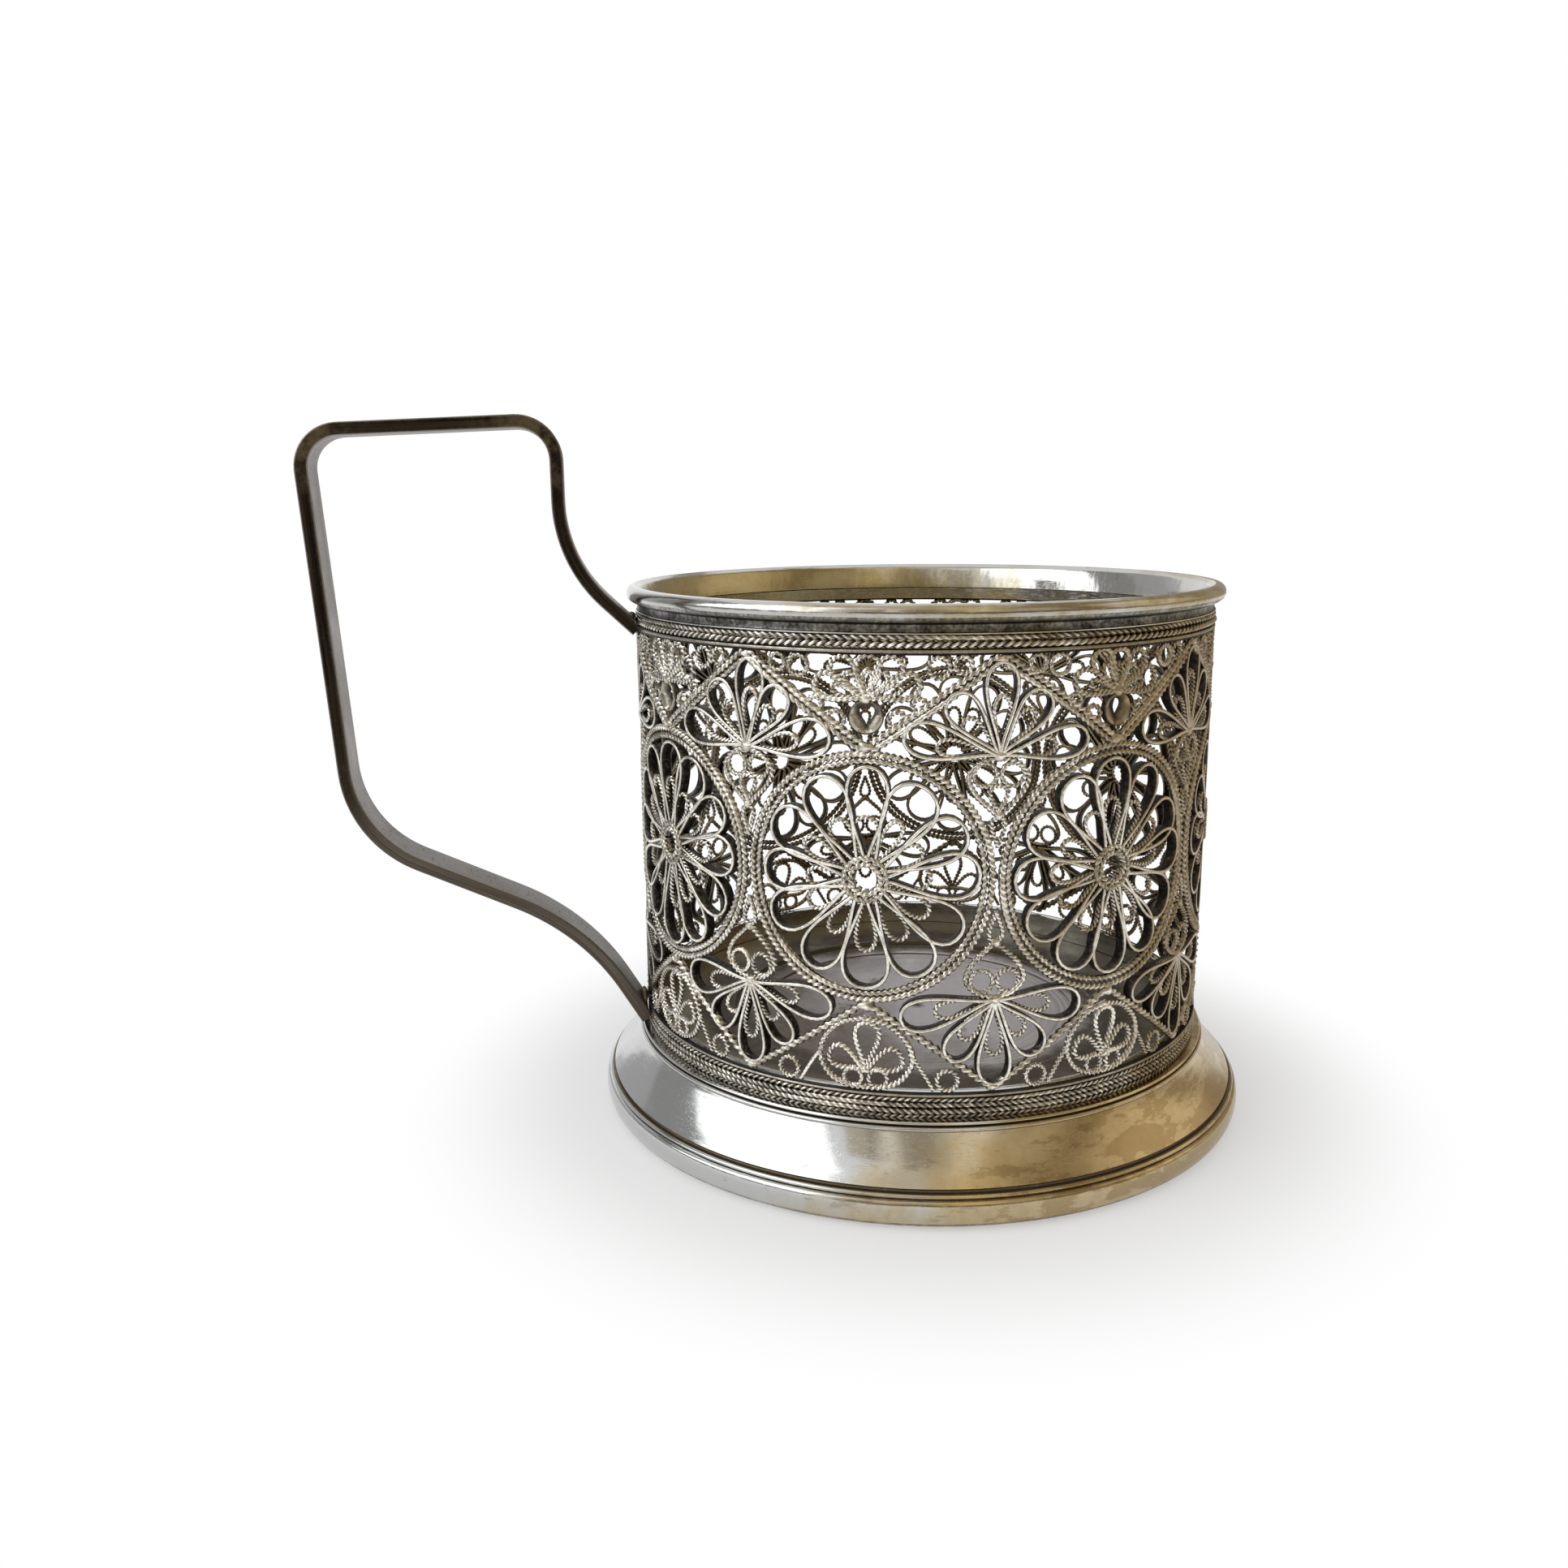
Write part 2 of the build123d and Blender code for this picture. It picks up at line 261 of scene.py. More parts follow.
def polish(name, bright, yellow, stain, dirt_and_shade, towards, cover, inside):
    """Polished sheet: silver that yellows to one side, with brown stains, and dirt in the turned grooves. The
    yellowing leans to the side away from the light, painted shade as well as tarnish, and the dirt colour
    also fills any rings of painted shadow given to the sheet.

    Its inside, within a given reach of the axis, yellows to a side of its own and is rippled by hand.
    """
    finish, tree, shader = new_finish(name, Metallic=1.0)
    film_and_shade = effect(tree, "tarnish_and_shade_film", Scale=75.0, Cover=cover, Towards=towards)
    edges = effect(tree, "wear_and_shade_edges", Grime=0.36, Break=0.25)
    lines = effect(tree, "hairlines", Scale=700.0)
    aged_and_shaded = film_and_shade["Film"]
    relief = maths(tree, "ADD", lines["Waviness"], maths(tree, "MULTIPLY", lines["Lines"], 0.012))
    reach, lining_towards, lining_cover = inside
    lining = effect(tree, "tarnish_and_shade_film", Scale=110.0, Cover=lining_cover, Towards=lining_towards)
    within = spread(tree, off_axis(tree), reach + 0.0003, reach)
    change = maths(tree, "SUBTRACT", lining["Film"], aged_and_shaded)
    aged_and_shaded = maths(tree, "ADD", aged_and_shaded, maths(tree, "MULTIPLY", change, within))
    ripples = maths(tree, "MULTIPLY", clouds(tree, 240.0, 3.0, 0.55, (1, 1, 0.3)), within)
    relief = maths(tree, "ADD", relief, maths(tree, "MULTIPLY", ripples, 0.35))
    # Yellow leaning away from the light: tarnish, and painted shade on that side
    colour = tint(tree, aged_and_shaded, bright, yellow)
    patches = maths(tree, "MULTIPLY", film_and_shade["Stain"], 0.6)
    colour = tint(tree, maths(tree, "MULTIPLY", aged_and_shaded, patches), colour, stain)
    flakes, flake_grey = maths(tree, "SUBTRACT", 1.0, aged_and_shaded), (0.36, 0.345, 0.31)
    colour = tint(tree, maths(tree, "MULTIPLY", flakes, patches), colour, flake_grey)
    specks = maths(tree, "MULTIPLY", aged_and_shaded, maths(tree, "MULTIPLY", film_and_shade["Mottle"], 0.22))
    colour = tint(tree, specks, colour, stain)
    colour = tint(tree, edges["Hollow"], colour, dirt_and_shade)
    clean_polish, dulled, scratched, crusted = 0.12, 0.09, 0.10, 0.3
    rough = maths(tree, "MULTIPLY_ADD", aged_and_shaded, dulled, clean_polish)
    rough = maths(tree, "MULTIPLY_ADD", lines["Lines"], scratched, rough)
    rough = maths(tree, "MULTIPLY_ADD", edges["Hollow"], crusted, rough)
    coat(tree, shader, colour, rough, relief, 0.0006, 0.5)
    return finish


foot_bright, foot_yellow_and_shade = (0.57, 0.575, 0.57), (0.54, 0.442, 0.275)
foot_stain, foot_dirt = (0.32, 0.225, 0.11), (0.15, 0.12, 0.08)
away_and_down, foot_cover = (11.0, 0.0, -30.0), 0.77
collar_inside = (0.0346, (-10.0, 0.0, 0.0), 0.36)
foot_silver = polish(
    "foot_silver", foot_bright, foot_yellow_and_shade, foot_stain, foot_dirt, away_and_down, foot_cover, collar_inside
)

spun_foot = [
    [(34.5, 9.6), (34.5, 13.3)],
    [(34.5, 13.3), (34.9, 13.36), (35.36, 13.3)],
    [(35.36, 13.3), (35.36, 10.45)],
    [(35.36, 10.45), (36.7, 10.34)],
    [(36.7, 10.34), (36.86, 10.15), (36.72, 9.93)],
    [(36.72, 9.93), (36.62, 9.86)],
    [(36.62, 9.86), (37.0, 9.76), (37.12, 9.55), (37.02, 9.36)],
    [(37.02, 9.36), (37.32, 8.75), (37.85, 7.85), (38.6, 6.75), (39.55, 5.6), (40.62, 4.5)],
    [(40.62, 4.5), (40.42, 4.3), (40.48, 4.05)],
    [(40.48, 4.05), (40.95, 4.02), (41.2, 3.82), (41.1, 3.58)],
    [(41.1, 3.58), (41.0, 3.5)],
    [(41.0, 3.5), (41.5, 3.25), (41.69, 2.5), (41.66, 1.5), (41.35, 0.7), (40.7, 0.18), (39.9, 0.0)],
    [(39.9, 0.0), (39.0, 0.0)],
    [(39.0, 0.0), (38.75, 0.3), (39.5, 3.0), (39.4, 4.2), (38.2, 5.7), (36.9, 7.6), (36.0, 9.0), (34.5, 9.6)],
]
skirt_groove, bead_groove = (4.0, 4.45, 39.0, 0.0), (3.46, 3.6, 39.0, 0.06)
ledge_groove, standing_edge = (9.8, 10.02, 36.0, 0.0), (-0.1, 0.9, 39.5, 0.16)
foot_dirty = [skirt_groove, bead_groove, ledge_groove, standing_edge]
make_piece("spun_foot", [spun(spun_foot, 200, foot_dirty)], foot_silver, ["foot"])

# Floor: a stepped disc of the same sheet, pressed up under the collar. It never sees a cloth, so it is dull
# lavender grey in the middle, with streaks from turning, dark brown by the step and paler under the wall. The
# brown by the step and the heavier tarnish at the front left are painted shadow as well as tarnish.
floor_grey, floor_streak = (0.64, 0.615, 0.63), (0.27, 0.225, 0.175)
floor_film_and_shade, floor_stain = (0.165, 0.13, 0.095), (0.12, 0.085, 0.05)
step_brown_and_shadow, edge_buff = (0.078, 0.060, 0.036), (0.31, 0.275, 0.205)
floor_rubbed, floor_dirt = (0.52, 0.48, 0.42), (0.06, 0.045, 0.03)
streaks_from, step_from, edge_from = (0.014, 0.020), (0.0208, 0.0232), (0.0275, 0.0318)
tarnished_floor, tree, shader = new_finish("tarnished_floor", Metallic=0.8)
# Tarnish leaning to the front left, where the floor lies in shade under the wall: tarnish and painted shade
film_and_shade = effect(tree, "tarnish_and_shade_film", Scale=45.0, Cover=0.38, Towards=(-22.0, -6.0, 0.0))
edges = effect(tree, "wear_and_shade_edges", Grime=0.4, Break=0.3)
reach = off_axis(tree)
ragged = maths(tree, "MULTIPLY", maths(tree, "SUBTRACT", clouds(tree, 160.0, 4.0, 0.6), 0.5), 0.006)
reached = maths(tree, "ADD", reach, ragged)
along = add_node(tree, "ShaderNodeCombineXYZ", X=reach).outputs[0]
turned = add_node(tree, "ShaderNodeTexNoise", Vector=along, Scale=1400.0, Detail=2.0).outputs["Fac"]
streaks = spread(tree, turned, 0.42, 0.66)
streaks = maths(tree, "MULTIPLY", streaks, spread(tree, reached, *streaks_from))
colour = tint(tree, maths(tree, "MULTIPLY", streaks, 0.6), floor_grey, floor_streak)
colour = tint(tree, maths(tree, "MULTIPLY", film_and_shade["Film"], 0.85), colour, floor_film_and_shade)
colour = tint(tree, maths(tree, "MULTIPLY", film_and_shade["Stain"], 0.5), colour, floor_stain)
# Dark brown by the step: tarnish and painted shadow
colour = tint(tree, spread(tree, reached, *step_from), colour, step_brown_and_shadow)
colour = tint(tree, spread(tree, reached, *edge_from), colour, edge_buff)
colour = tint(tree, edges["Rubbed"], colour, floor_rubbed)
colour = tint(tree, edges["Hollow"], colour, floor_dirt)
rough = spread(tree, film_and_shade["Mottle"], 0.0, 1.0, 0.30, 0.44)
coat(tree, shader, colour, rough, maths(tree, "ADD", film_and_shade["Mottle"], turned), 0.00002, 0.5)

floor_disc = [
    [(0.02, 8.9), (34.4, 8.9)],
    [(34.4, 8.9), (34.4, 10.3)],
    [(34.4, 10.3), (33.2, 10.28), (30.0, 10.3), (25.0, 10.3)],
    [(25.0, 10.3), (24.6, 10.26), (24.3, 10.05), (23.9, 9.85)],
    [(23.9, 9.85), (22.6, 9.8), (21.2, 9.82), (20.9, 9.7)],
    [(20.9, 9.7), (20.6, 9.6), (12.0, 9.62), (0.02, 9.6)],
    [(0.02, 9.6), (0.02, 8.9)],
]
make_piece("floor_disc", [spun(floor_disc, 160)], tarnished_floor, ["floor_plate"], 20)

# Lower band: two plaits, each of two twisted wires with opposite lays, and a flat strip above them.
# They are soldered round the foot's collar, and dirt fills the twist.
by_hand = np.random.default_rng(11)
wall_radius = 36.0
rope_radius = 35.6


def even(path, count):
    """Points evenly spaced along a path."""
    length = np.concatenate([[0], np.cumsum(np.linalg.norm(np.diff(path, axis=0), axis=1))])
    at = np.linspace(0, length[-1], count)
    return np.stack([np.interp(at, length, path[:, k]) for k in range(path.shape[1])], 1)


def wrapped(path, turn, level, radius):
    """Flat path bent round the wall: its points, and the way out of the wall at each."""
    angle = turn + path[:, 0] / wall_radius
    out = np.stack([np.cos(angle), np.sin(angle), 0 * angle], 1)
    points = out * radius
    points[:, 2] = level + path[:, 1]
    return points, out


def drawn(points, out, sections, wear_and_shade, closed):
    """Wire drawn along points: each section gives its sideways and outward reach at every point."""
    if closed:
        along = np.roll(points, -1, 0) - np.roll(points, 1, 0)
    else:
        along = np.gradient(points, axis=0)
    along /= np.linalg.norm(along, axis=1)[:, None]
    side = np.cross(along, out)
    side /= np.linalg.norm(side, axis=1)[:, None]
    up = np.cross(side, along)
    skin = points[:, None, :] + side[:, None, :] * sections[..., :1] + up[:, None, :] * sections[..., 1:]
    n, m = skin.shape[:2]
    faces = net(n, m, closed)
    if not closed:
        faces += [list(range(m)), list(range(n * m - 1, (n - 1) * m - 1, -1))]
    return skin.reshape(-1, 3), faces, wear_and_shade.reshape(-1)


def rope(
    path, turn, level, width, lay, hand=1, radius=rope_radius, closed=False,
    sides=8, steps=5, shine=1.0, clean_and_unshaded=0.36,
):
    """Two round wires twisted together, laid on the wall along a path.

    The lay is the length of half a turn and the hand its way. Shine is how bright the crests are rubbed, and
    the last value how light the grooves stay against dirt and painted shade.
    """
    length = np.linalg.norm(np.diff(path, axis=0), axis=1).sum()
    count = max(2, round(length / lay)) * steps
    line = even(path, count + 1)
    if closed:
        line = line[:-1]
    points, out = wrapped(line, turn, level, radius)
    at = np.arange(len(line)) / steps
    start, drift = by_hand.uniform(0, 2 * pi, 2)
    solder = 0.9 * np.sin(0.19 * at + start) + 0.6 * np.sin(0.071 * at + drift) - 0.5
    flooded = np.clip(solder, 0, 1)[:, None]
    open_depth, filled = 0.26, 0.6
    depth = open_depth * (1 - filled * flooded)
    twist = hand * at * pi
    round_it = np.arange(sides) * 2 * pi / sides
    crest = 0.5 + 0.5 * np.cos(2 * (round_it[None, :] - twist[:, None]))
    reach = width / 2 * (1 - 2 * depth * (1 - crest))
    sections = np.stack([reach * np.cos(round_it), reach * np.sin(round_it)], -1)
    facing = np.sin(round_it)
    dullest, brightest = 0.66, 1.2
    beads = by_hand.uniform(dullest, brightest, count // steps + 2)[np.round(at).astype(int)][:, None]
    # Crests are brightest facing out and darker towards the wall; grooves are darkest beside the next wire
    # and darker towards the wall: rubbing and dirt, with painted shade
    wear_and_shade = shine * beads * crest * (0.74 + 0.26 * np.maximum(facing, 0) ** 2 + 0.16 * np.minimum(facing, 0))
    open_groove = clean_and_unshaded * np.sqrt(np.abs(facing)) * np.where(facing > 0, 1.0, 0.6)
    wear_and_shade += (0.35 * shine * flooded + open_groove) * (1 - crest)
    return drawn(points, out, sections, np.clip(wear_and_shade, 0, 1), closed)


def hoop_path(radius, steps=120, uneven=0.0):
    """Closed circle on the flat, bent a little out of true."""
    turn = np.linspace(0, 2 * pi, steps + 1)
    first, second = by_hand.uniform(0, 2 * pi, 2)
    reach = radius + uneven * (np.sin(2 * turn + first) + 0.6 * np.sin(3 * turn + second))
    return np.stack([reach * np.sin(turn), reach * np.cos(turn)], 1)


def girdle(level, width, hand, radius, lay=0.8, shine=1.0):
    """Rope once round the whole wall, its grooves full of dirt."""
    turn = np.linspace(0, 2 * pi, 721)
    first, second = by_hand.uniform(0, 2 * pi, 2)
    sway = 0.04 * np.sin(5 * turn + first) + 0.03 * np.sin(13 * turn + second)
    path = np.stack([wall_radius * turn, sway], 1)
    return rope(path, 0, level, width, lay, hand, radius, True, 9, 6, shine, clean_and_unshaded=0.05)


wire_silver, wire_film_and_shade, wire_specks = (0.53, 0.492, 0.42), (0.35, 0.275, 0.17), (0.22, 0.165, 0.10)
wire_rubbed, wire_black = (0.97, 0.945, 0.87), (0.010, 0.007, 0.0045)
filigree_silver, tree, shader = new_finish("filigree_silver", Specular_IOR_Level=0.2)
# Tarnish heavier to the right and back, away from the window, and a little towards the top: painted shade on
# that side as well as tarnish, also dulling the rubbed crests there
film_and_shade = effect(tree, "tarnish_and_shade_film", Scale=48.0, Cover=0.31, Towards=(14.0, 6.0, 7.0))
edges = effect(tree, "wear_and_shade_edges", Grime=0.66, Break=0.42)
colour = tint(tree, film_and_shade["Film"], wire_silver, wire_film_and_shade)
colour = tint(tree, maths(tree, "MULTIPLY", film_and_shade["Mottle"], 0.35), colour, wire_specks)
shine = maths(tree, "SUBTRACT", 1.0, maths(tree, "MULTIPLY", film_and_shade["Film"], 0.82))
colour = tint(tree, maths(tree, "MULTIPLY", edges["Rubbed"], shine), colour, wire_rubbed)
# Near black in the hollows: sulphide, and painted shade in the gaps between the wires
colour = tint(tree, edges["Hollow"], colour, wire_black)
tree.links.new(spread(tree, edges["Hollow"], 0.0, 1.0, 1.0, 0.45), shader.inputs["Metallic"])
drawn_wire, dulled, crusted, rubbed_smooth = 0.25, 0.12, 0.2, -0.08
rough = maths(tree, "MULTIPLY_ADD", film_and_shade["Film"], dulled, drawn_wire)
rough = maths(tree, "MULTIPLY_ADD", edges["Hollow"], crusted, rough)
rough = maths(tree, "MULTIPLY_ADD", edges["Rubbed"], rubbed_smooth, rough)
coat(tree, shader, colour, rough, film_and_shade["Mottle"], 0.00004, 0.6)


def strip(low, high, shadow=0.05):
    """Flat strip bent into a ring, with its edges eased, a painted shadow darkening it along the lower edge
    and a thin dark line along the upper one.
    """
    back, edge, near_face, face = 35.22, 35.85, 35.97, 36.0
    half = (low + high) / 2
    outside = [(edge, low), (near_face, low + 0.1), (face, half), (near_face, high - 0.1), (edge, high)]
    ring = [[(back, low), (edge, low)], outside, [(edge, high), (back, high)], [(back, high), (back, low)]]
    return spun(ring, 200, [(low - 0.02, low + shadow, 35.0, 0.0), (high - 0.05, high + 0.02, 35.0, 0.0)])


def wirework(name, shapes, nodes=(), crease=80):
    """A piece of filigree: its wires are shaded smooth all round."""
    make_piece(name, shapes, filigree_silver, nodes, crease)


rope_seat = 35.7
strip_crease = 35
low_plait = [girdle(11.2, 0.78, -1, rope_seat), girdle(10.6, 0.58, 1, rope_seat - 0.08, shine=0.65)]
high_plait = [girdle(12.5, 0.62, 1, rope_seat - 0.04), girdle(11.86, 0.7, -1, rope_seat)]
wirework("lower_rope_wire_1", low_plait, ["lower_rope_outer"])
wirework("lower_rope_wire_2", high_plait, ["lower_rope_inner"])
wirework("lower_flat_strip", [strip(12.86, 13.22)], ["lower_strip"], strip_crease)

# Medallion hoops: eight rings round the wall, each of two thin ropes with opposite lays that read as a plait.
# Each touches its neighbours, where it is soldered.
medallions = 8
eighth = 2 * pi / medallions
middle = 37.45
hoop_lay = 0.72
for number in range(medallions):
    turn = (number + 0.5) * eighth
    outer = rope(hoop_path(13.6, uneven=0.05), turn, middle, 0.94, hoop_lay, 1, closed=True)
    inner = rope(hoop_path(12.8, uneven=0.06), turn, middle, 0.88, hoop_lay, -1, closed=True)
    wirework(f"hoop_ropes_{number + 1}", [outer, inner], [f"medallion_hoop_{number + 1}"])

# Rosettes: twelve drops of flat wire set on edge, tips against the hoop, a small loop of thin rope in each,
# and a coil of rope over the middle where they all meet.


def drop(length, half_width, root=0.0, lean=0.0, foot=(0.0, 0.0)):
    """Wire bent to a drop on the flat: point at the foot, round end outwards, leaning to the right."""
    t = np.linspace(0, 2 * pi, 97)
    x = half_width / 0.6495 * np.sin(t) * np.sin(t / 2) ** 2
    y = root + length * np.sin(t / 2) ** 2
    return np.stack([foot[0] + x * cos(lean) + y * sin(lean), foot[1] + y * cos(lean) - x * sin(lean)], 1)


def flat_wire(path, turn, level):
    """Flat wire on edge, its corners eased, laid on the wall along a path."""
    half_thick, half_deep, ease, radius, count = 0.21, 0.65, 0.1, 35.34, 31
    points, out = wrapped(even(path, count), turn, level, radius)
    w, d = half_thick - ease, half_deep - ease
    right, left = [(half_thick, -d), (half_thick, d)], [(-half_thick, d), (-half_thick, -d)]
    corners = right + [(w, half_deep), (-w, half_deep)] + left + [(-w, -half_deep), (w, -half_deep)]
    # Per corner: the two sides are dark, darkest against the wall, tarnish with painted shade between the
    # wires; the front edge is rubbed bright and the back is mid
    wear_and_shade = [0.0, 0.13, 0.8, 0.8, 0.13, 0.0, 0.54, 0.54]
    return drawn(points, out, np.tile(corners, (count, 1, 1)), np.tile(wear_and_shade, (count, 1)), False)


def thin_rope(path, turn, level, width=0.66, lay=0.52, radius=35.62, closed=False, hand=1, shine=1.2):
    """Fine rope for the small loops."""
    return rope(path, turn, level, width, lay, hand, radius, closed, 6, 4, shine, clean_and_unshaded=0.22)


petals = 12
hub_width, hub_lay, hub_radius = 0.8, 0.62, 35.9
for number in range(medallions):
    turn = (number + 0.5) * eighth
    shapes = []
    for petal in range(petals):
        lean = petal * 2 * pi / petals + radians(by_hand.normal(0, 1.8))
        length = 10.95 - abs(by_hand.normal(0, 0.25))
        shapes.append(flat_wire(drop(length, 2.4 + by_hand.normal(0, 0.14), 1.35, lean), turn, middle))
        loop_length, loop_half = 6.3 + by_hand.normal(0, 0.45), 1.1 + by_hand.normal(0, 0.1)
        loop = drop(loop_length, loop_half, 1.3, lean + radians(by_hand.normal(0, 2.5)))
        shapes.append(thin_rope(loop, turn, middle, radius=rope_radius))
    for reach, hand in ((1.66, 1), (2.34, -1)):
        shapes.append(rope(hoop_path(reach), turn, middle, hub_width, hub_lay, hand, hub_radius, True))
    wirework(f"rosette_wires_{number + 1}", shapes, [f"rosette_{number + 1}"])

# Palmettes: five drops fanned from one point between two hoops, each with a rope loop inside,
# and at the root a rope heart with two rings in it. Soldered where they meet: a bright bead at the point.


def bead(turn, x, z, wide, tall, proud, radius=35.75):
    """Run of solder at a joint, domed and uneven."""
    rings, sides = 6, 14
    points = []
    for ring in range(rings + 1):
        lift = ring / rings * pi / 2
        for k in range(sides):
            a = k * 2 * pi / sides
            swell = cos(lift) * (1 + 0.16 * sin(3 * a + x + z) + 0.1 * sin(5 * a + 2 * z))
            px = x + wide * swell * cos(a)
            pz = z + tall * swell * sin(a)
            out = radius + proud * sin(lift)
            points.append((out * cos(turn + px / wall_radius), out * sin(turn + px / wall_radius), pz))
    faces = net(rings + 1, sides, flipped=True) + [list(range(sides - 1, -1, -1))]
    wear_and_shade = np.repeat(np.linspace(0.35, 0.9, rings + 1), sides)
    return np.array(points), faces, wear_and_shade


def mirrored(path):
    """The same path on the other side of the motif's middle line."""
    return path * np.array([-1, 1])


bend_steps = 12
fan_root = 13.4
fan_leans = (-79, -39.5, 0, 39.5, 79)
fan_lengths = (10.3, 8.3, 9.7, 8.3, 10.3)
heart_half = [(0, -0.2), (1.9, -0.7), (3.25, -2.2), (2.6, -4.0), (1.0, -5.6), (0, -6.5)]
heart_width, heart_lay = 0.74, 0.6
ring_size, ring_width, ring_lay = 1.25, 0.62, 0.54
for name, way in (("upper", 1), ("lower", -1)):
    for number in range(medallions):
        turn = number * eighth
        level = middle + way * fan_root
        up = np.array([1, way])
        shapes = []
        for lean, length in zip(fan_leans, fan_lengths):
            lean = radians(lean + by_hand.normal(0, 1.8))
            leaf = drop(length - abs(by_hand.normal(0, 0.2)), 1.78 + by_hand.normal(0, 0.12), 0.2, lean)
            shapes.append(flat_wire(leaf * up, turn, level))
            loop_length = length * by_hand.normal(0.64, 0.03)
            loop = drop(loop_length, 0.95, 0.2, lean + radians(by_hand.normal(0, 2.5)))
            shapes.append(thin_rope(loop * up, turn, level, radius=rope_radius))
        heart = eased(heart_half, bend_steps)
        shapes.append(thin_rope(heart * up, turn, level, heart_width, heart_lay))
        shapes.append(thin_rope(mirrored(heart) * up, turn, level, heart_width, heart_lay, hand=-1))
        for side in (-1, 1):
            ring = hoop_path(ring_size, 40) + np.array([side * 1.5, -2.05])
            shapes.append(thin_rope(ring * up, turn, level, ring_width, ring_lay, closed=True, hand=side))
        if way > 0:
            shapes.append(thin_rope(drop(3.0, 1.0, 0, 0, (0, -6.2)) * up, turn, level))
        shapes.append(thin_rope(drop(3.3, 0.75, 0, 0, (0, -9.9)) * up, turn, level, 0.62))
        shapes.append(bead(turn, 0, level, 0.85, 0.6, 0.34))
        shapes.append(bead(turn, 0, level - way * 6.4, 0.55, 0.5, 0.3))
        wirework(f"{name}_fan_{number + 1}", shapes, [f"{name}_palmette_{number + 1}"])

# Zigzag ropes: the stoutest twist on the wall, from the head of each hoop up to the strip and down again,
# two side by side above the medallions and one below.
at_hoop, at_strip = 14.3, 23.5
falling, rising = ((0.3, at_strip), (13.6, at_hoop)), ((0.55, at_hoop), (13.85, at_strip))
for name, way in (("upper", 1), ("lower", -1)):
    shapes = []
    for leg in range(2 * medallions):
        turn = leg * eighth / 2
        start, end = rising if leg % 2 else falling
        path = np.stack([np.linspace(start[k], end[k], 40) for k in (0, 1)], 1) * [1, way]
        path[:, 1] += by_hand.normal(0, 0.2) * np.sin(np.linspace(0, pi, 40))
        if way > 0:
            shapes.append(rope(path + [0, 0.42], turn, middle, 0.92, 0.8, 1))
            shapes.append(rope(path - [0, 0.48], turn, middle, 0.88, 0.8, -1))
        else:
            shapes.append(rope(path, turn, middle, 1.05, 0.94, 1 if leg % 2 else -1))
    for number in range(medallions):
        shapes.append(bead((number + 0.5) * eighth, 0, middle + way * at_hoop, 1.0, 0.6, 0.42))
        shapes.append(bead(number * eighth, 0, middle + way * at_strip, 0.8, 0.45, 0.36))
    wirework(f"{name}_zigzag_ropes", shapes, [f"{name}_zigzag"])

# Crests over the medallions: a thick-walled eye on the hoop's head with a drop-shaped hole, pressed from
# sheet, a fan of five rope loops on it, and small rope rings tucked under the band.


def eye(turn, level, size=1.85):
    """Sheet funnel: round at the front, closing to a small drop at the back, its point down."""
    t = np.linspace(0, 2 * pi, 33)[:-1]
    circle = size * np.stack([np.sin(t), -np.cos(t)], 1)
    hole = np.stack([1.25 * np.sin(t) * np.sin(t / 2) ** 2, 2.1 * np.sin(t / 2) ** 2 - 1.0], 1)
    rings = [(circle, 35.75), (circle * 0.9, 35.95), (hole * 1.1, 35.35), (hole, 35.0), (circle, 35.1)]
    points, wear_and_shade = [], []
    for (path, radius), wear in zip(rings, (0.2, 0.6, 0.22, 0.1, 0.1)):
        points.append(wrapped(path, turn, level, radius)[0])
        wear_and_shade.append(np.full(len(t), wear))
    return np.vstack(points), net(len(rings), len(t), True, True), np.concatenate(wear_and_shade)


eye_level, crest_foot = 54.9, (0, 56.75)
crest_loops = ((-74, 5.9), (-40, 5.4), (0, 4.6), (40, 5.4), (74, 5.9))
crest_rings = ((7.6, 60.1, 1.1), (10.1, 60.35, 0.9), (3.3, 54.6, 0.9), (5.6, 56.2, 0.7))
for number in range(medallions):
    turn = (number + 0.5) * eighth
    shapes = [eye(turn, eye_level)]
    for lean, length in crest_loops:
        lean = radians(lean + by_hand.normal(0, 2.5))
        shapes.append(thin_rope(drop(length, 1.3, 0, lean, crest_foot), turn, 0, 0.84, 0.62))
        shapes.append(thin_rope(drop(length * 0.66, 0.5, 0, lean, crest_foot), turn, 0, 0.66, 0.54))
    for side in (-1, 1):
        for x, z, size in crest_rings:
            ring = hoop_path(size, 40) + np.array([side * x, z])
            shapes.append(thin_rope(ring, turn, 0, 0.7, 0.54, closed=True, hand=side))
    shapes.append(bead(turn, 0, 56.8, 0.7, 0.5, 0.35))
    wirework(f"crest_{number + 1}", shapes)

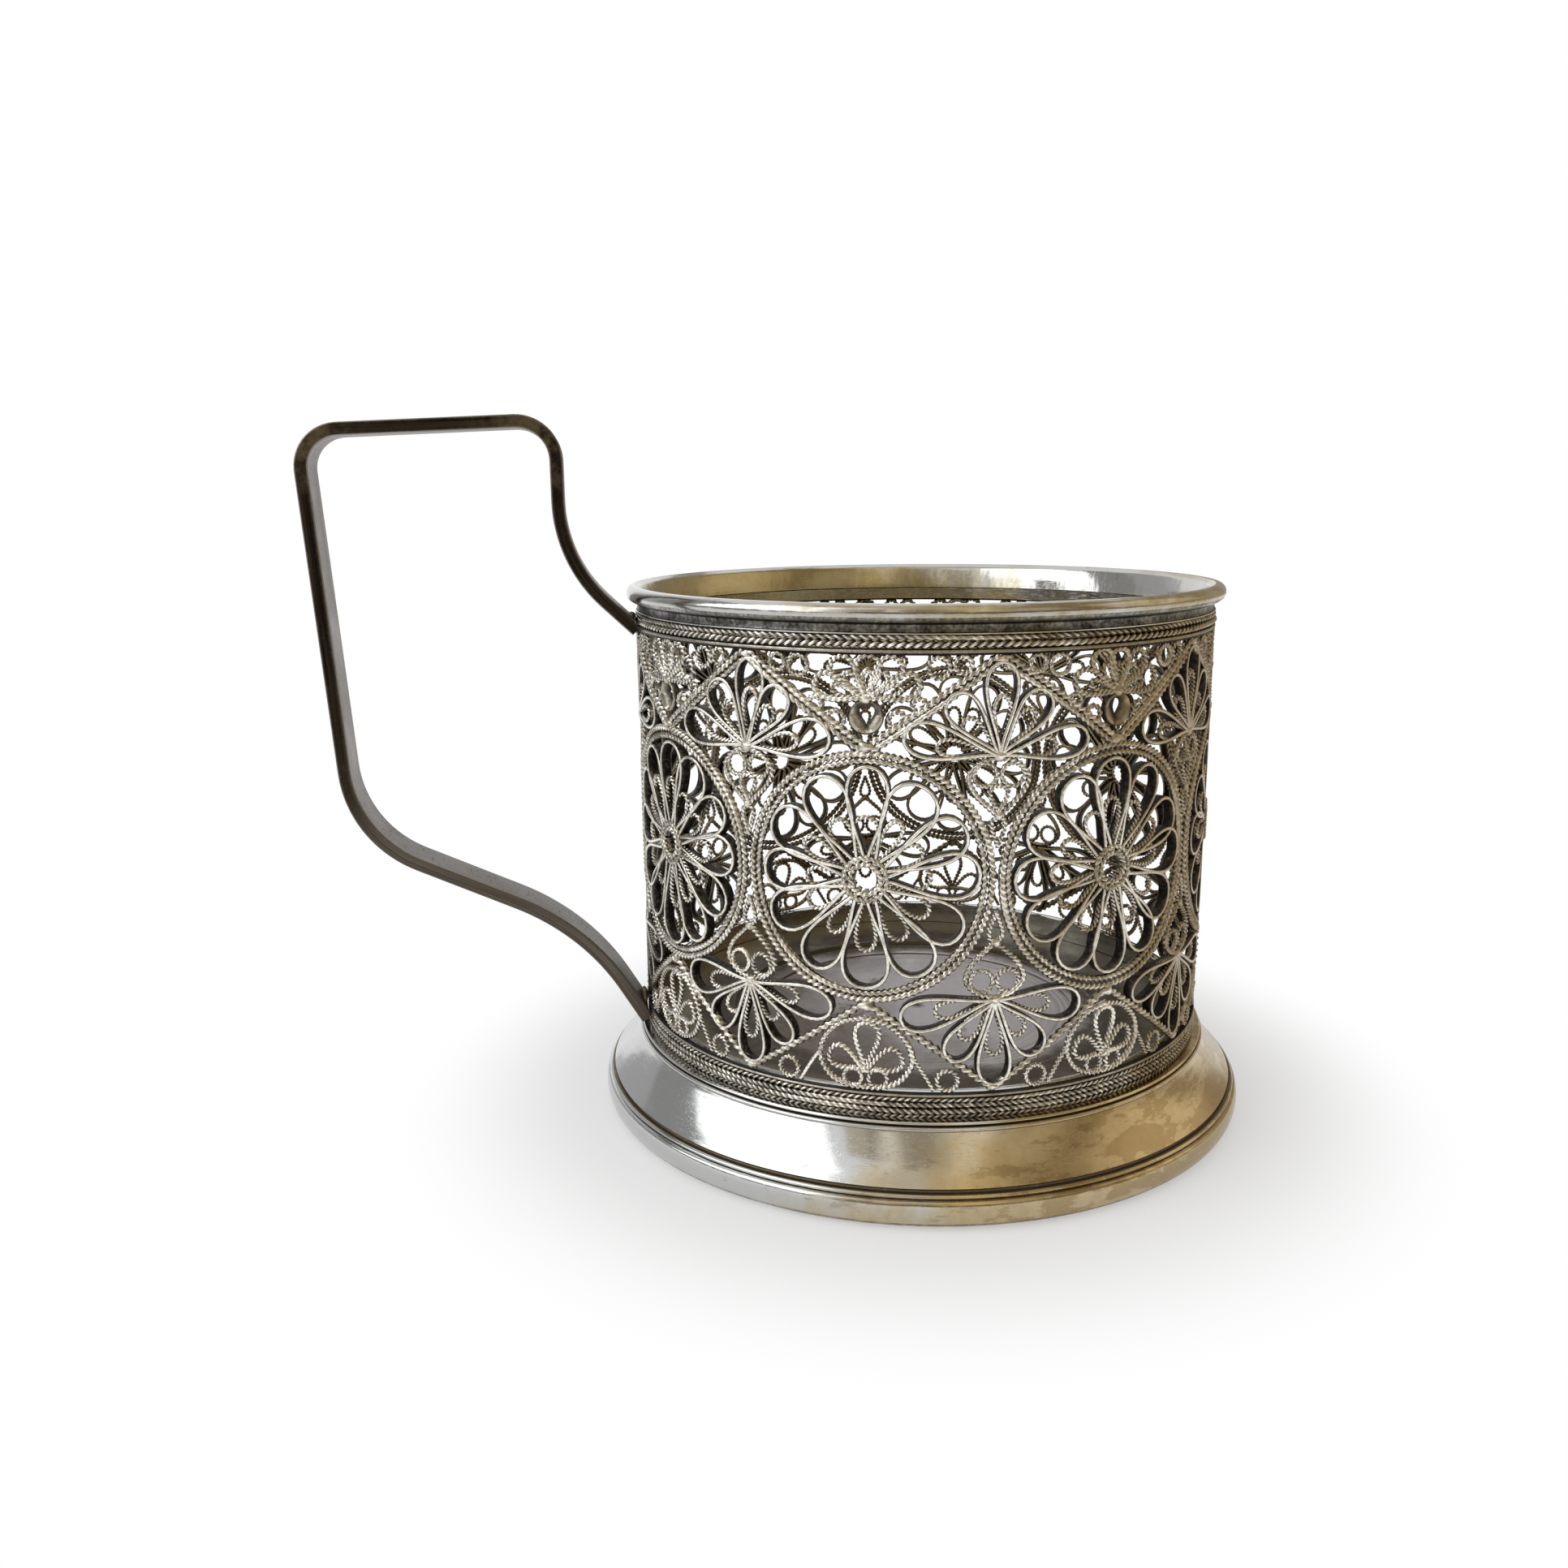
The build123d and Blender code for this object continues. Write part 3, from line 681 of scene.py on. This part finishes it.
# Trefoils under the medallions: a closed rope outline with three loops and two rings in it,
# a slanted wire at each side and a ring beyond it. Soldered to the lower strip.
outline_half = [(0, 21.7), (2.7, 21.0), (4.7, 19.0), (5.2, 16.8), (4.0, 14.7), (1.9, 13.75), (0, 13.65)]
trefoil_foot = (0, 15.7)
trefoil_loops = ((0, 5.5, 1.35), (-66, 4.4, 1.25), (66, 4.4, 1.25))
trefoil_rings = ((1.42, 14.75, 1.02), (9.1, 14.75, 1.15))
slant_half = np.array([(4.9, 17.9), (6.3, 15.8), (7.6, 13.6)])
bright = 1.5
for number in range(medallions):
    turn = (number + 0.5) * eighth
    outline = eased(outline_half, bend_steps)
    shapes = [thin_rope(outline, turn, 0, 0.8, 0.6, shine=bright)]
    shapes.append(thin_rope(mirrored(outline), turn, 0, 0.8, 0.6, hand=-1, shine=bright))
    for lean, length, half in trefoil_loops:
        lean = radians(lean + by_hand.normal(0, 1.5))
        shapes.append(thin_rope(drop(length, half, 0, lean, trefoil_foot), turn, 0, 0.72, 0.56, shine=bright))
    for side in (-1, 1):
        for x, z, size in trefoil_rings:
            ring = hoop_path(size, 40) + np.array([side * x, z])
            shapes.append(thin_rope(ring, turn, 0, 0.66, 0.52, closed=True, hand=side, shine=bright))
        slant = eased(slant_half * [side, 1], bend_steps)
        shapes.append(thin_rope(slant, turn, 0, 0.6, 0.5, hand=side, shine=1.4))
    shapes.append(bead(turn, *trefoil_foot, 0.6, 0.45, 0.3))
    wirework(f"trefoil_{number + 1}", shapes)

# Upper band: a flat strip with a painted shadow along its lower edge, and a plait of two twisted wires with
# opposite lays.
# All are soldered round the rim's collar.
upper_lay = 0.94
thin_wire = girdle(63.16, 0.7, -1, rope_seat - 0.02, upper_lay)
stout_wire = girdle(62.44, 0.84, 1, rope_seat + 0.02, upper_lay)
wirework("upper_flat_strip", [strip(61.38, 61.98, 0.24)], ["upper_strip"], strip_crease)
wirework("upper_rope_wire_1", [stout_wire], ["upper_rope_inner"])
wirework("upper_rope_wire_2", [thin_wire], ["upper_rope_outer"])

# Rim: a collar of polished sheet inside the wall, flared at the top and rolled over into a round lip, with a
# shallow cove under it. Fingers and cloths keep the lip bright; the inside has yellowed, and the outside
# yellows to the right and front, tarnish with painted shade.
# The cove is darkened in patches, a black band under the lip is a painted shadow, and the lip's lower part is
# darkened as painted shade.
rim_bright, rim_yellow_and_shade = (0.535, 0.528, 0.51), (0.40, 0.345, 0.205)
rim_stain, rim_black = (0.26, 0.18, 0.085), (0.022, 0.017, 0.011)
away_and_front, rim_cover = (5.0, -5.0, 0.0), 0.36
lining = (0.0352, (-14.0, 0.0, -60.0), 4.58)
rim_silver = polish(
    "rim_silver", rim_bright, rim_yellow_and_shade, rim_stain, rim_black, away_and_front, rim_cover, lining
)
lip_top = [(35.85, 66.68), (36.45, 66.62), (36.9, 66.25), (37.04, 65.75)]
lip_under = [(36.93, 65.2), (36.55, 64.82), (36.2, 64.72)]
rim_sheet = [
    [(34.62, 61.62), (34.64, 62.4), (34.66, 63.2)],
    [(34.66, 63.2), (34.52, 63.28)],
    [(34.52, 63.28), (34.6, 63.9), (34.74, 64.7), (34.98, 65.5), (35.32, 66.25), (35.85, 66.68)],
    lip_top + lip_under,
    [(36.2, 64.72), (36.05, 64.66), (35.86, 64.56)],
    [(35.86, 64.56), (35.79, 64.3), (35.77, 64.0), (35.8, 63.72)],
    [(35.8, 63.72), (35.92, 63.67), (35.96, 63.59), (35.9, 63.5)],
    [(35.9, 63.5), (35.36, 63.45)],
    [(35.36, 63.45), (35.36, 61.62)],
    [(35.36, 61.62), (35.0, 61.58), (34.62, 61.62)],
]
rim_sheet = [run[::-1] for run in rim_sheet[::-1]]
# Dark rings: a painted shadow under the lip, painted shade on the lip's lower part, patches in the cove and a
# line at the inner step
painted_shadow_under_lip, painted_shade_lip_foot = (64.5, 64.76, 35.5, 0.0), (64.76, 65.35, 36.0, 0.16)
cove, inner_step = (63.68, 64.5, 35.5, 0.1), (63.1, 63.24, 34.6, 0.1)
rim_dirt_and_shadow = [painted_shadow_under_lip, painted_shade_lip_foot, cove, inner_step]
make_piece("rolled_rim", [spun(rim_sheet, 200, rim_dirt_and_shadow)], rim_silver, ["rim_collar"])

# Handle: one flat strap with eased edges, bent up from the rim, over, down and back in to the foot.
# Its sides are oxidised almost black; the broad faces are rubbed grey by hands.


def strap_line(corners, bends):
    """Straight runs of the strap joined by round bends, side on."""
    corners = [np.array(corner, float) for corner in corners]
    line = [corners[0]]
    for a, b, c, bend in zip(corners, corners[1:], corners[2:], bends):
        back, on = (a - b) / np.linalg.norm(a - b), (c - b) / np.linalg.norm(c - b)
        half = np.arccos(np.clip(back @ on, -1, 1)) / 2
        centre = b + (back + on) / np.linalg.norm(back + on) * bend / sin(half)
        start, end = b + back * bend / np.tan(half), b + on * bend / np.tan(half)
        first, last = start - centre, end - centre
        sweep = np.arctan2(first[0] * last[1] - first[1] * last[0], first @ last)
        x, z = first
        for t in np.linspace(0, sweep, 18):
            line.append(centre + np.array([x * cos(t) - z * sin(t), x * sin(t) + z * cos(t)]))
    return np.array(line + [corners[-1]])


strap_corners = [
    (-36.0, 61.4), (-44.8, 69.8), (-44.8, 86.3), (-74.0, 85.1), (-71.1, 36.8), (-43.7, 23.8), (-36.3, 11.3),
]
strap_bends = (16.5, 4.5, 4.5, 14.0, 30.0)
line = even(strap_line(strap_corners, strap_bends), 280)
along = np.gradient(line, axis=0)
along /= np.linalg.norm(along, axis=1)[:, None]
points = np.stack([line[:, 0], 0 * line[:, 0], line[:, 1]], 1)
out = np.stack([-along[:, 1], 0 * along[:, 0], along[:, 0]], 1)
# Half the strap's width and thickness, and how far its edges are eased
w, d, ease = 3.1, 0.775, 0.14
corner = [(w, d - ease), (w - 0.3 * ease, d - 0.3 * ease), (w - ease, d)]
quarter = [(w, 0.0), (w, d - 0.3), *corner, (w - 0.35, d), (w - 1.2, d), (0.0, d)]
quarter_worn = [0.0, 0.02, 0.12, 0.95, 0.85, 0.6, 0.55, 0.5]
half = quarter + [(-x, y) for x, y in quarter[-2::-1]]
half_worn = quarter_worn + quarter_worn[-2::-1]
section = np.array(half + [(x, -y) for x, y in half[-2:0:-1]])
section_worn = np.array(half_worn + half_worn[-2:0:-1])
lengthwise = np.repeat(np.arange(len(line)) * np.linalg.norm(line[1] - line[0]) * 0.001, len(section))
face_shift = 3.7
crosswise = np.tile((section[:, 0] + face_shift * section[:, 1]) * 0.001, len(line))
strap_points, strap_faces, strap_worn = drawn(
    points, out, np.tile(section[None], (len(line), 1, 1)), np.tile(section_worn, (len(line), 1)), False
)
band_face, ledge_face = 36.15, 10.6
strap_points[:, 0] = np.minimum(strap_points[:, 0], -np.sqrt(band_face**2 - strap_points[:, 1] ** 2))
strap_points[:, 2] = np.maximum(strap_points[:, 2], ledge_face)


def near(tree, place, far, close):
    """Mask that fills as the surface comes close to a place, in metres."""
    return spread(tree, by_place(tree, "DISTANCE", place), far, close)


low_grey, grip_grey, strap_film = (0.122, 0.113, 0.106), (0.35, 0.335, 0.34), (0.17, 0.145, 0.115)
strap_streak, strap_edge = (0.12, 0.098, 0.078), (0.25, 0.205, 0.145)
low_side_dark, low_side_pale = (0.075, 0.064, 0.053), (0.15, 0.128, 0.10)
side_black, side_brown, side_scuffed = (0.012, 0.009, 0.007), (0.05, 0.037, 0.023), (0.15, 0.118, 0.07)
outer_bend, inner_bend = (-0.073, 0, 0.0845), (-0.0465, 0, 0.0845)
strap_metal, tree, shader = new_finish("strap_metal", Metallic=1.0)
film_and_shade = effect(tree, "tarnish_and_shade_film", Scale=70.0, Cover=0.42, Towards=(0.0, 0.0, 3.0))
edges = effect(tree, "wear_and_shade_edges", Grime=0.42, Break=0.16)
lines = effect(tree, "hairlines", Scale=600.0)
grip = spread(tree, by_place(tree, "DOT_PRODUCT", (0, 0, 1)), 0.033, 0.044)
drawn_line = add_node(tree, "ShaderNodeCombineXYZ")
for key, mark, stretch in (("X", "lengthwise", 35.0), ("Y", "crosswise", 900.0)):
    at = add_node(tree, "ShaderNodeAttribute", attribute_name=mark).outputs["Fac"]
    tree.links.new(maths(tree, "MULTIPLY", at, stretch), drawn_line.inputs[key])
grain = add_node(
    tree, "ShaderNodeTexNoise", Vector=drawn_line.outputs[0], Scale=1.0, Detail=5.0, Roughness=0.62
)
streaks = spread(tree, grain.outputs["Fac"], 0.36, 0.66)
colour = tint(tree, grip, low_grey, grip_grey)
colour = tint(tree, maths(tree, "MULTIPLY", film_and_shade["Film"], 0.45), colour, strap_film)
colour = tint(tree, maths(tree, "MULTIPLY", streaks, 0.42), colour, strap_streak)
low_side = tint(tree, streaks, low_side_dark, low_side_pale)
side_colour = tint(tree, grip, low_side, tint(tree, streaks, side_black, side_brown))
scuffs = maths(tree, "MAXIMUM", near(tree, outer_bend, 0.009, 0.001), near(tree, inner_bend, 0.011, 0.001))
scuffs = maths(tree, "MULTIPLY", scuffs, spread(tree, clouds(tree, 330.0, 5.0, 0.65), 0.42, 0.62))
side_colour = tint(tree, scuffs, side_colour, side_scuffed)
colour = tint(tree, edges["Hollow"], colour, side_colour)
colour = tint(tree, maths(tree, "MULTIPLY", edges["Rubbed"], 0.75), colour, strap_edge)
satin, scratched, dulled = 0.34, 0.12, 0.1
rough = maths(tree, "MULTIPLY_ADD", lines["Lines"], scratched, satin)
rough = maths(tree, "MULTIPLY_ADD", film_and_shade["Film"], dulled, rough)
relief = maths(tree, "ADD", lines["Waviness"], maths(tree, "MULTIPLY", streaks, 0.05))
coat(tree, shader, colour, rough, relief, 0.0004, 0.6)
strap_shape = (strap_points, strap_faces, strap_worn)
grain_marks = [("lengthwise", lengthwise), ("crosswise", crosswise)]
make_piece("bent_strap", [strap_shape], strap_metal, ["handle"], 22, grain_marks)

# Solder at the strap's two ends: thin brown runs drawn into the corners between the strap and the bands.
# Flux has stained them almost black.
solder_brown, solder_dark, solder_rubbed = (0.17, 0.115, 0.065), (0.07, 0.046, 0.027), (0.34, 0.27, 0.18)
flux_black = (0.04, 0.028, 0.018)
solder, tree, shader = new_finish("solder", Metallic=0.6)
film_and_shade = effect(tree, "tarnish_and_shade_film", Scale=220.0, Cover=0.5, Towards=(0.0, 0.0, 0.0))
edges = effect(tree, "wear_and_shade_edges", Grime=0.45, Break=0.4)
colour = tint(tree, film_and_shade["Film"], solder_brown, solder_dark)
colour = tint(tree, maths(tree, "MULTIPLY", edges["Rubbed"], 0.6), colour, solder_rubbed)
colour = tint(tree, edges["Hollow"], colour, flux_black)
rough = spread(tree, film_and_shade["Mottle"], 0.0, 1.0, 0.45, 0.7)
coat(tree, shader, colour, rough, film_and_shade["Mottle"], 0.0001, 0.8)


def lump(centre, size, seed):
    """Frozen puddle of solder: a swollen, uneven body."""
    rings, sides = 14, 22
    a = np.arange(sides) * 2 * pi / sides
    points = []
    for ring in range(1, rings):
        t = ring * pi / rings
        wave = 1 + 0.07 * np.sin(3 * a + seed + 2 * t) + 0.05 * np.sin(5 * a - seed + 3 * t)
        reach = sin(t) * wave
        points.append(np.stack([reach * np.cos(a), reach * np.sin(a), np.full(sides, cos(t))], 1))
    points = np.vstack(points)
    last = (rings - 1) * sides
    faces = net(rings - 1, sides) + [list(range(sides)), list(range(last - 1, last - sides - 1, -1))]
    wear_and_shade = np.clip(0.5 + 2.2 * (np.linalg.norm(points, axis=1) - 1), 0, 1)
    return points * np.array(size) + np.array(centre), faces, wear_and_shade


for name, tilt, seed in (("upper_solder", 0.8, 1.0), ("lower_solder", -0.5, 3.1)):
    low, high = (1000 * np.array(corner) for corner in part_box(name))
    centre, size = (low + high) / 2, (high - low) / 2
    centre += size * (0.6, 0, -0.5)
    shapes = [
        lump(centre, size * (0.5, 1.0, 0.42), seed),
        lump(centre + size * (-0.1, tilt * 0.6, -0.15), size * (0.45, 0.5, 0.3), seed + 1.3),
    ]
    make_piece(f"{name}_run", shapes, solder, [name])

# Table, light and camera: a plain pale floor that carries a soft shadow, white all round, a tall window
# on the left, a weak warm fill at the right, and a dim cream room with two bright panes in front.
table_mesh = bpy.data.meshes.new("table")
turns, reaches = 96, [0.03, 0.06, 0.1, 0.16, 0.25, 0.4, 0.7, 1.5]
angle = np.arange(turns) * 2 * pi / turns
ground = [(r * cos(a), r * sin(a), 0.0) for r in reaches for a in angle] + [(0, 0, 0)]
centre = len(ground) - 1
ground_faces = net(len(reaches), turns) + [[k, (k + 1) % turns, centre] for k in range(turns)]
table_mesh.from_pydata(ground, [], ground_faces)
table = bpy.data.objects.new("table", table_mesh)
bpy.context.collection.objects.link(table)


def seen_white(tree):
    """One for the rays that show the background: the camera's, those off metal and those through glass."""
    rays = add_node(tree, "ShaderNodeLightPath").outputs
    seen = maths(tree, "MAXIMUM", rays["Is Camera Ray"], rays["Is Glossy Ray"])
    return maths(tree, "MAXIMUM", seen, rays["Is Transmission Ray"])


def either(tree, share, first, second, kind):
    """Two shaders mixed by a share, put out as the whole look of a material or the world."""
    mixed = add_node(tree, "ShaderNodeMixShader")
    tree.links.new(share, mixed.inputs[0])
    tree.links.new(first.outputs[0], mixed.inputs[1])
    tree.links.new(second.outputs[0], mixed.inputs[2])
    tree.links.new(mixed.outputs[0], add_node(tree, kind).inputs["Surface"])


white_table = bpy.data.materials.new("white_table")
white_table.use_nodes = True
tree = white_table.node_tree
tree.nodes.clear()
paint = add_node(tree, "ShaderNodeBsdfDiffuse", Color=(0.9, 0.9, 0.9, 1))
glow = add_node(tree, "ShaderNodeEmission", Color=(1, 1, 1, 1), Strength=1.0)
shadow_from, shadow_to, shadow_share = 0.0405, 0.07, 0.42
fading = spread(tree, by_place(tree, "LENGTH"), shadow_from, shadow_to, shadow_share, 1.0)
either(tree, maths(tree, "MULTIPLY", seen_white(tree), fading), paint, glow, "ShaderNodeOutputMaterial")
table_mesh.materials.append(white_table)

world = bpy.data.worlds.new("white_room")
bpy.context.scene.world = world
world.use_nodes = True
tree = world.node_tree
tree.nodes.clear()
soft = add_node(tree, "ShaderNodeBackground", Color=(1, 1, 1, 1), Strength=0.55)
plain = add_node(tree, "ShaderNodeBackground", Color=(1, 1, 1, 1), Strength=1.0)
either(tree, seen_white(tree), soft, plain, "ShaderNodeOutputWorld")


def aimed(obj, place, target):
    """Stand something at a place, facing a target, in metres."""
    back = np.array(place) - np.array(target)
    back = back / np.linalg.norm(back)
    side = np.cross([0, 0, 1], back)
    side /= np.linalg.norm(side)
    rows = np.stack([side, np.cross(back, side), back], 1).tolist()
    obj.matrix_world = Matrix([(*row, at) for row, at in zip(rows, place)] + [(0, 0, 0, 1)])


def softbox(name, place, target, size, brightness, colour):
    """A broad soft lamp of a given brightness."""
    lamp = bpy.data.lights.new(name, "AREA")
    lamp.shape = "RECTANGLE"
    lamp.size, lamp.size_y = size
    lamp.energy = pi * size[0] * size[1] * brightness
    lamp.color = colour
    obj = bpy.data.objects.new(name, lamp)
    bpy.context.collection.objects.link(obj)
    aimed(obj, place, target)


softbox("left_window", (-0.5, -0.17, 0.515), (0, -0.17, 0.515), (0.56, 0.83), 1.5, (0.97, 0.99, 1.0))
softbox("warm_fill", (0.52, -0.1, 0.35), (0, -0.1, 0.35), (0.5, 0.5), 0.45, (1.0, 0.88, 0.68))


def panel(name, corners, colour):
    """A flat part of the room that only shows as a reflection in the metal."""
    mesh = bpy.data.meshes.new(name)
    mesh.from_pydata(corners, [], [[0, 1, 2, 3]])
    obj = bpy.data.objects.new(name, mesh)
    bpy.context.collection.objects.link(obj)
    paint, _, shader = new_finish(name, Roughness=1.0, Specular_IOR_Level=0.0, Emission_Strength=1.0)
    shader.inputs["Base Color"].default_value = (0, 0, 0, 1)
    shader.inputs["Emission Color"].default_value = (*colour, 1)
    mesh.materials.append(paint)
    obj.visible_camera = obj.visible_diffuse = obj.visible_shadow = False


def wall(name, start, end, low, high, colour):
    """An upright part of the room between two points of the floor plan."""
    panel(name, [(*start, low), (*end, low), (*end, high), (*start, high)], colour)


def ceiling(name, left, right, front, back, level, colour):
    """A level part of the room overhead."""
    corners = [(left, front), (right, front), (right, back), (left, back)]
    panel(name, [(*corner, level) for corner in corners], colour)


front, right, dado, top = -0.6, 0.56, 0.17, 0.72
before_wall, under_ceiling = -0.595, 0.715
cream_light, yellow_light = (1.0, 0.90, 0.72), (0.98, 0.85, 0.60)
cream_pane, yellow_pane = (-0.295, -0.23), (0.01, 0.15)
wall("room_front_low", (-0.5, front), (right, front), 0.0, dado, (0.22, 0.19, 0.15))
wall("room_front_high", (-0.5, front), (right, front), dado, top, (0.60, 0.53, 0.40))
for name, (start, end), colour in (
    ("room_curtain_1", (-0.345, -0.305), (0.30, 0.265, 0.20)),
    ("room_curtain_2", (-0.22, -0.07), (0.40, 0.345, 0.26)),
    ("room_pane_1", cream_pane, cream_light),
    ("room_pane_2", yellow_pane, yellow_light),
):
    wall(name, (start, before_wall), (end, before_wall), dado, top, colour)
wall("room_right_front", (right, front), (right, -0.2), 0.0, top, (0.30, 0.235, 0.15))
wall("room_right_back", (right, -0.2), (right, 0.5), 0.0, top, (0.50, 0.43, 0.32))
wall("room_left_low", (-0.51, 0.2), (-0.51, -0.5), 0.0, 0.1, (0.30, 0.295, 0.285))
wall("room_left_high", (-0.51, 0.11), (-0.51, -0.5), 0.1, 0.95, (0.72, 0.72, 0.72))
wall("room_left_back", (-0.52, 0.11), (-0.47, 0.34), 0.0, top, (0.36, 0.355, 0.35))
wall("room_left_corner", (-0.47, 0.34), (-0.40, 0.6), 0.0, top, (0.50, 0.50, 0.50))
wall("room_back_left", (-0.40, 0.6), (-0.3, 0.75), 0.0, top, (0.60, 0.60, 0.60))
wall("room_back_right", (right, 0.5), (0.34, 0.75), 0.0, top, (0.40, 0.36, 0.29))
ceiling("room_over_front", -0.3, 0.24, front, 0.1, top, (0.70, 0.62, 0.46))
ceiling("room_over_pane_1", *cream_pane, front, -0.2, under_ceiling, cream_light)
ceiling("room_over_pane_2", *yellow_pane, front, -0.2, under_ceiling, yellow_light)
ceiling("room_over_right", 0.24, right, front, 0.3, top, (0.38, 0.31, 0.20))

photo_width, focal_length, middle_column = 1932, 1688, 982
lens = bpy.data.cameras.new("camera")
lens.sensor_width = 36.0
lens.lens = 36.0 * focal_length / photo_width
lens.shift_x = -(middle_column - photo_width / 2) / photo_width
lens.clip_start = 0.01
camera = bpy.data.objects.new("camera", lens)
bpy.context.collection.objects.link(camera)
across, over = (0.98896, -0.14795, -0.00872), (0.03978, 0.20834, 0.97725)
ahead, stand = (0.14276, 0.96680, -0.21193), (-0.041295, -0.170783, 0.078308)
camera.matrix_world = Matrix([(across[k], over[k], -ahead[k], stand[k]) for k in range(3)] + [(0, 0, 0, 1)])
bpy.context.scene.camera = camera
bpy.context.scene.view_settings.view_transform = "Standard"
